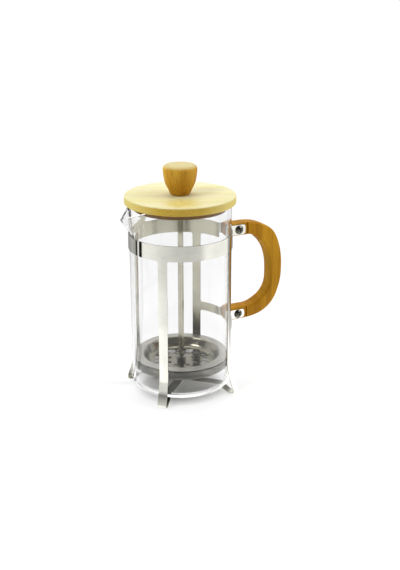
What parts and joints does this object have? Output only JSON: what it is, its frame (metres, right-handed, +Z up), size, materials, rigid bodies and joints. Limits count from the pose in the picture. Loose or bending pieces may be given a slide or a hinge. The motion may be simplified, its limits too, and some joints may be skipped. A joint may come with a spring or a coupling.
{
  "type": "french press",
  "caption": "Glass coffee press in a four-legged steel cage, with a bamboo lid, knob and side handle and a sliding spring-rimmed mesh filter.",
  "frame": {"origin": "on the glass's axis, at the surface that the four feet stand on", "axes": "+Z up along the glass's axis, +X towards the handle, -X towards the spout"},
  "size_m": [0.1463, 0.09, 0.1924],
  "materials": {
    "glass": "clear, polished",
    "cage_steel": "polished",
    "rod_steel": "polished",
    "filter_steel": "satin",
    "mesh_steel": "woven wire",
    "fastener_steel": "polished",
    "brass": "machined",
    "lid_bamboo": "pale bamboo, sanded",
    "knob_bamboo": "honey bamboo, oiled",
    "handle_bamboo": "honey bamboo, oiled"
  },
  "bodies": {
    "cage": {"cage": "cage_steel", "handle": "handle_bamboo", "upper_clamp_screw": "fastener_steel", "lower_clamp_screw": "fastener_steel", "upper_cap_nut": "fastener_steel", "lower_cap_nut": "fastener_steel"},
    "glass": {"beaker": "glass"},
    "lid": {"lid_disc": "lid_bamboo", "lid_plug": "lid_bamboo", "lid_eyelet": "fastener_steel", "eyelet_washer": "fastener_steel"},
    "plunger": {"knob": "knob_bamboo", "knob_insert": "brass", "plunger_rod": "rod_steel", "lock_nut": "fastener_steel", "pressure_plate": "filter_steel", "rim_spring": "filter_steel", "mesh_screen": "mesh_steel", "cross_plate": "filter_steel", "hub_nut": "fastener_steel"}
  },
  "joints": [
    {"name": "glass_lift", "type": "slide", "parent": "cage", "child": "glass", "axis": [0, 0, 1], "range_m": [0, 0.135]},
    {"name": "lid_lift", "type": "slide", "parent": "glass", "child": "lid", "axis": [0, 0, 1], "range_m": [0, 0.15]},
    {"name": "plunger_slide", "type": "slide", "parent": "lid", "child": "plunger", "axis": [0, 0, 1], "range_m": [0, 0.124]}
  ]
}
